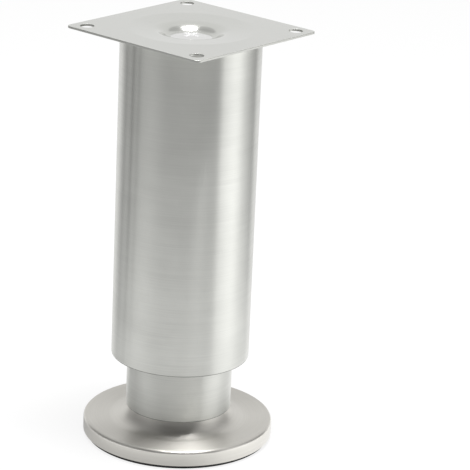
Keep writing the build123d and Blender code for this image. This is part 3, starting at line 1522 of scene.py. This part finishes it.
@dataclass(frozen=True)
class Flag:
    """A narrow dark card that the tubes mirror as an upright line.

    Attributes:
        bearing: Where it stands, in degrees.
        width: How far its soft edge reaches to either side, in degrees.
        share: Share of the light that it lets by.
        core: How far its dark middle reaches to either side, in degrees.
    """

    bearing: float
    width: float
    share: float
    core: float = 1.0

    def dim(self, tree: Tree, bearing: Socket, level: Socket) -> Socket:
        """Darkens the level on the flag's bearing.

        Args:
            tree: The tree that gets the nodes.
            bearing: The bearing that is looked along, in degrees.
            level: The level without the flag.

        Returns:
            The socket with the darkened level.
        """
        off = maths(tree, "ABSOLUTE", maths(tree, "SUBTRACT", bearing, self.bearing))
        passed = remap(tree, off, (self.core, self.width), (self.share, 1.0), smooth=True)
        return maths(tree, "MULTIPLY", level, passed)


@dataclass(frozen=True)
class Window:
    """A range of bearings with soft ends.

    Attributes:
        opens: Bearings between which it comes in, in degrees.
        closes: Bearings between which it goes out, in degrees.
        level: Its level inside. Outside it is 0.
    """

    opens: Point
    closes: Point
    level: float = 1.0

    def seen(self, tree: Tree, bearing: Socket) -> Socket:
        """Adds the level seen along a bearing.

        Args:
            tree: The tree that gets the nodes.
            bearing: The bearing, in degrees.

        Returns:
            The socket with the level.
        """
        rise = remap(tree, bearing, self.opens, smooth=True)
        fall = remap(tree, bearing, self.closes, (1.0, 0.0), smooth=True)
        return maths(tree, "MULTIPLY", maths(tree, "MULTIPLY", rise, fall), self.level)


@dataclass(frozen=True)
class Surround:
    """What bright metal mirrors. A bearing of 0 points towards the camera, and 90 to its right.

    Attributes:
        room: Brightness of the room behind the camera, near the floor and higher up.
        room_heights: Heights between which it changes, in degrees.
        fill: A white card at the left.
        box: What the tall soft box at the right adds, near the floor and higher up.
        box_heights: Heights between which that changes, in degrees.
        box_parts: The sharp and the broad part of the box.
        flags: Dark cards, three at the left and one at the soft box's edge.
        backdrop: Brightness of the backdrop behind the leg.
        backdrop_edge: Bearings to either side between which it comes in.
        canopy: Brightness of the pale canopy round the overhead lamp.
        canopy_lean: How far the canopy's middle leans back from the camera, in degrees.
        canopy_edge: Cosines of the angle from its middle between which it comes in.
        lit_left: Bearings between which the floor's painted light near the leg comes up to full, from the
            left.
        lit_right: Bearings between which it loses it again, at the right.
        lit_least: Share of its painted light that the floor behind the leg has, as painted shade behind the
            leg.
        beside: Where the floor lies next to the soft box.
    """

    room: Point = (0.5, 0.165)
    room_heights: Point = (0.0, 25.0)
    fill: Window = Window((-142.0, -92.0), (-68.0, -30.0), 0.23)
    box: Point = (2.05, 0.7)
    box_heights: Point = (-5.0, 20.0)
    box_parts: tuple[Window, Window] = (
        Window((48.0, 60.0), (84.0, 136.0), 0.65),
        Window((54.0, 80.0), (82.0, 106.0), 0.35),
    )
    flags: tuple[Flag, ...] = (
        Flag(-119.0, 4.0, 0.55),
        Flag(-100.0, 5.0, 0.25),
        Flag(-86.0, 4.0, 0.45),
        Flag(130.0, 8.0, 0.72),
    )
    backdrop: float = 1.13
    backdrop_edge: Point = (122.0, 142.0)
    canopy: float = 0.8
    canopy_lean: float = 35.0
    canopy_edge: Point = (0.55, 0.85)
    lit_left: Point = (-125.0, -65.0)
    lit_right: Point = (120.0, 175.0)
    lit_least: float = 0.55
    beside: Window = Window((2.0, 48.0), (125.0, 165.0))

    def group(self, towards: Vector, right: Vector) -> Tree:
        """Makes the shader group that gives the brightness seen along a direction.

        Args:
            towards: The level direction from the leg towards the camera.
            right: The level direction to the camera's right.

        Returns:
            The group, with a Direction input, a Level output, and for the floor's painted light near the leg
            a Lit output and a Beside output, which is 1 next to the soft box.
        """
        tree = bpy.data.node_groups.new("Surround", "ShaderNodeTree")
        tree.interface.new_socket("Direction", in_out="INPUT", socket_type="NodeSocketVector")
        for label in ("Level", "Lit", "Beside"):
            tree.interface.new_socket(label, in_out="OUTPUT", socket_type="NodeSocketFloat")
        way = tree.nodes.new("NodeGroupInput").outputs[0]
        front, side = (vector_maths(tree, "DOT_PRODUCT", way, axis) for axis in (towards, right))
        bearing = maths(tree, "DEGREES", maths(tree, "ARCTAN2", side, front))
        aim = vector_maths(tree, "NORMALIZE", way)
        level = maths(tree, "ADD", self._walls(tree, bearing, aim), self._box(tree, bearing, aim))
        for flag in self.flags:
            level = flag.dim(tree, bearing, level)
        level = maths(tree, "MAXIMUM", level, self._canopy(tree, aim, towards))
        come = remap(tree, bearing, self.lit_left, (self.lit_least, 1.0), smooth=True)
        go = remap(tree, bearing, self.lit_right, (1.0, self.lit_least), smooth=True)
        lit = maths(tree, "MINIMUM", come, go)
        add_node(tree, "NodeGroupOutput", {0: level, 1: lit, 2: self.beside.seen(tree, bearing)})
        return tree

    @staticmethod
    def _height(tree: Tree, aim: Socket) -> Socket:
        """Adds the height that is looked at, in degrees."""
        up = add_node(tree, "ShaderNodeSeparateXYZ", {0: aim}).outputs["Z"]
        return maths(tree, "DEGREES", maths(tree, "ARCSINE", up))

    def _walls(self, tree: Tree, bearing: Socket, aim: Socket) -> Socket:
        """Adds the room with its white card, and the backdrop.

        Args:
            tree: The group's tree.
            bearing: The bearing that is looked along, in degrees.
            aim: The direction, of length 1.

        Returns:
            The socket with their brightness.
        """
        room = remap(tree, self._height(tree, aim), self.room_heights, self.room, smooth=True)
        room = maths(tree, "ADD", room, self.fill.seen(tree, bearing))
        behind = remap(tree, maths(tree, "ABSOLUTE", bearing), self.backdrop_edge, smooth=True)
        return mix(tree, behind, room, self.backdrop)

    def _box(self, tree: Tree, bearing: Socket, aim: Socket) -> Socket:
        """Adds the soft box.

        Args:
            tree: The group's tree.
            bearing: The bearing that is looked along, in degrees.
            aim: The direction, of length 1.

        Returns:
            The socket with what it adds.
        """
        full = remap(tree, self._height(tree, aim), self.box_heights, self.box, smooth=True)
        sharp, broad = (part.seen(tree, bearing) for part in self.box_parts)
        return maths(tree, "MULTIPLY", full, maths(tree, "ADD", sharp, broad))

    def _canopy(self, tree: Tree, aim: Socket, towards: Vector) -> Socket:
        """Adds the canopy.

        Args:
            tree: The group's tree.
            aim: The direction, of length 1.
            towards: The level direction from the leg towards the camera.

        Returns:
            The socket with its brightness.
        """
        lean = math.radians(self.canopy_lean)
        middle = Vector((0.0, 0.0, math.cos(lean))) - towards * math.sin(lean)
        inside = remap(tree, vector_maths(tree, "DOT_PRODUCT", aim, middle), self.canopy_edge, smooth=True)
        return maths(tree, "MULTIPLY", inside, self.canopy)


@dataclass(frozen=True)
class Floor:
    """The pale floor, which keeps the leg's shadow.

    Attributes:
        size: Length of its sides.
        gap: How far it lies below the leg.
        tone: Its grey.
        glow: Share of it that glows, as the camera and bright metal see it.
        far: Distances from the leg between which its mirrored brightness nears the surround's.
        far_least: Share of the surround's brightness that it has next to the leg.
        near: Its mirrored glow near the leg, a painted pool of light that bright metal mirrors.
        contact: Its mirrored glow at the foot, away from the soft box and beside it, a painted contact
            shadow.
        contact_edge: Distances from the leg between which that goes over into the near brightness.
    """

    size: float = 6.0
    gap: float = 0.05 * MM
    tone: float = 0.9
    glow: float = 0.85
    far: Point = (50 * MM, 360 * MM)
    far_least: float = 0.08
    near: float = 1.86
    contact: Point = (0.68, 1.2)
    contact_edge: Point = (43 * MM, 72 * MM)

    def material(self, surround: Tree) -> Material:
        """Builds the floor's material.

        Args:
            surround: The group that gives the surround's brightness.

        Returns:
            The material.
        """
        material, tree, _ = start_material("pale_floor")
        tree.nodes.clear()
        place = place_on(tree)
        seen = add_node(tree, "ShaderNodeGroup", {0: place}, node_tree=surround).outputs
        away = vector_maths(tree, "LENGTH", place)
        # Painted light and shade on the floor, seen only by bright metal: a pool of light near the leg, a
        # contact shadow at the foot and shade behind it.
        far = remap(tree, away, self.far, (self.far_least, 1.0), smooth=True)
        contact = remap(tree, seen["Beside"], UNIT, self.contact)
        apart = remap(tree, away, self.contact_edge, smooth=True)
        near = maths(tree, "MULTIPLY", mix(tree, apart, contact, self.near), seen["Lit"])
        shiny, direct = ray_kinds(tree)
        level = mix(tree, shiny, 1.0, mix(tree, far, near, seen["Level"]))
        glow = add_node(tree, "ShaderNodeEmission", {"Strength": level})
        matt = add_node(tree, "ShaderNodeBsdfDiffuse", {"Color": (self.tone, self.tone, self.tone, 1.0)})
        share = maths(tree, "MULTIPLY", maths(tree, "MAXIMUM", shiny, direct), self.glow)
        mixed = add_node(tree, "ShaderNodeMixShader", {0: share, 1: matt.outputs[0], 2: glow.outputs[0]})
        add_node(tree, "ShaderNodeOutputMaterial", {0: mixed.outputs[0]})
        return material

    def lay(self, surround: Tree) -> None:
        """Lays the floor.

        Args:
            surround: The group that gives the surround's brightness.
        """
        half = self.size / 2
        mesh = bpy.data.meshes.new("floor")
        corners = [(-half, -half), (half, -half), (half, half), (-half, half)]
        mesh.from_pydata([(x, y, -self.gap) for x, y in corners], [], [(0, 1, 2, 3)])
        floor = new_piece("floor", mesh)
        mesh.materials.append(self.material(surround))


@dataclass(frozen=True)
class Studio:
    """The camera, the overhead lamp and the light from all round.

    Attributes:
        target: The point the camera looks at.
        azimuth: Where the camera stands, in degrees; 0 looks along +Y.
        elevation: How high it stands, in degrees.
        distance: Its distance from the target.
        roll: How far it leans, in degrees.
        lens: Focal length in millimetres.
        sensor: Width of the sensor in millimetres.
        clip: Distance from which the camera sees.
        lamp_place: How far right of the leg, in front of it and above the floor the lamp hangs, seen by
            the camera.
        lamp_size: The lamp's width across the view and its depth along it.
        lamp_power: The lamp's power in watts.
        daylight: Brightness of the surround on matt surfaces.
    """

    target: tuple[float, float, float] = (13.81 * MM, 11.84 * MM, 77.27 * MM)
    azimuth: float = 40.6
    elevation: float = 19.05
    distance: float = 885.6 * MM
    roll: float = 2.507
    lens: float = 189.3
    sensor: float = 36.0
    clip: float = 10 * MM
    lamp_place: tuple[float, float, float] = (0.085, 0.05, 1.1)
    lamp_size: Point = (0.4, 0.2)
    lamp_power: float = 14.0
    daylight: float = 0.56

    def ways(self) -> tuple[Vector, Vector]:
        """The level directions from the leg towards the camera and to the camera's right."""
        a = math.radians(self.azimuth)
        return Vector((math.sin(a), -math.cos(a), 0.0)), Vector((math.cos(a), math.sin(a), 0.0))

    def add_camera(self) -> None:
        """Puts the camera where the photograph was taken from."""
        a, e = math.radians(self.azimuth), math.radians(self.elevation)
        back = Vector((math.sin(a) * math.cos(e), -math.cos(a) * math.cos(e), math.sin(e)))
        camera = bpy.data.objects.new("camera", bpy.data.cameras.new("camera"))
        camera.data.lens = self.lens
        camera.data.sensor_width = self.sensor
        camera.data.clip_start = self.clip
        camera.location = Vector(self.target) + back * self.distance
        level = (-back).to_track_quat("-Z", "Y").to_matrix()
        camera.rotation_euler = (level @ Matrix.Rotation(math.radians(self.roll), 3, "Z")).to_euler()
        bpy.context.scene.collection.objects.link(camera)
        bpy.context.scene.camera = camera

    def add_world(self, surround: Tree) -> None:
        """Lights the leg from all round: white to the camera, the surround to bright metal.

        Args:
            surround: The group that gives the surround's brightness.
        """
        world = bpy.data.worlds.new("studio")
        bpy.context.scene.world = world
        world.use_nodes = True
        tree = world.node_tree
        tree.nodes.clear()
        way = add_node(tree, "ShaderNodeTexCoord").outputs["Generated"]
        seen = add_node(tree, "ShaderNodeGroup", {0: way}, node_tree=surround).outputs
        shiny, direct = ray_kinds(tree)
        strength = mix(tree, direct, mix(tree, shiny, self.daylight, seen["Level"]), 1.0)
        glow = add_node(tree, "ShaderNodeBackground", {"Strength": strength})
        add_node(tree, "ShaderNodeOutputWorld", {0: glow.outputs[0]})

    def add_lamp(self) -> None:
        """Hangs the soft lamp, which faces down."""
        towards, right = self.ways()
        beside, before, height = self.lamp_place
        lamp = bpy.data.lights.new("overhead", "AREA")
        lamp.shape = "RECTANGLE"
        lamp.size, lamp.size_y = self.lamp_size
        lamp.energy = self.lamp_power
        holder = bpy.data.objects.new("overhead", lamp)
        holder.location = right * beside + towards * before + Vector((0.0, 0.0, height))
        holder.rotation_euler = (0.0, 0.0, math.radians(self.azimuth))
        bpy.context.scene.collection.objects.link(holder)

    def build(self) -> None:
        """Sets the whole stage."""
        bpy.context.scene.view_settings.view_transform = "Standard"
        self.add_camera()
        surround = Surround().group(*self.ways())
        self.add_world(surround)
        Floor().lay(surround)
        self.add_lamp()


def main() -> None:
    """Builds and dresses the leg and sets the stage."""
    logging.basicConfig(level=logging.INFO, format="%(name)s: %(message)s")
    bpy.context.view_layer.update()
    finishes = {finish.slot: finish.material() for finish in FINISHES}
    shop = Workshop(finishes, Lathe(turned_tree()), thread_tree())
    for assembly in (FixingPlate(), TubePair(), Foot()):
        assembly.build(shop)
    dress_solids(shop)
    Studio().build()


if __name__ == "__main__":
    main()
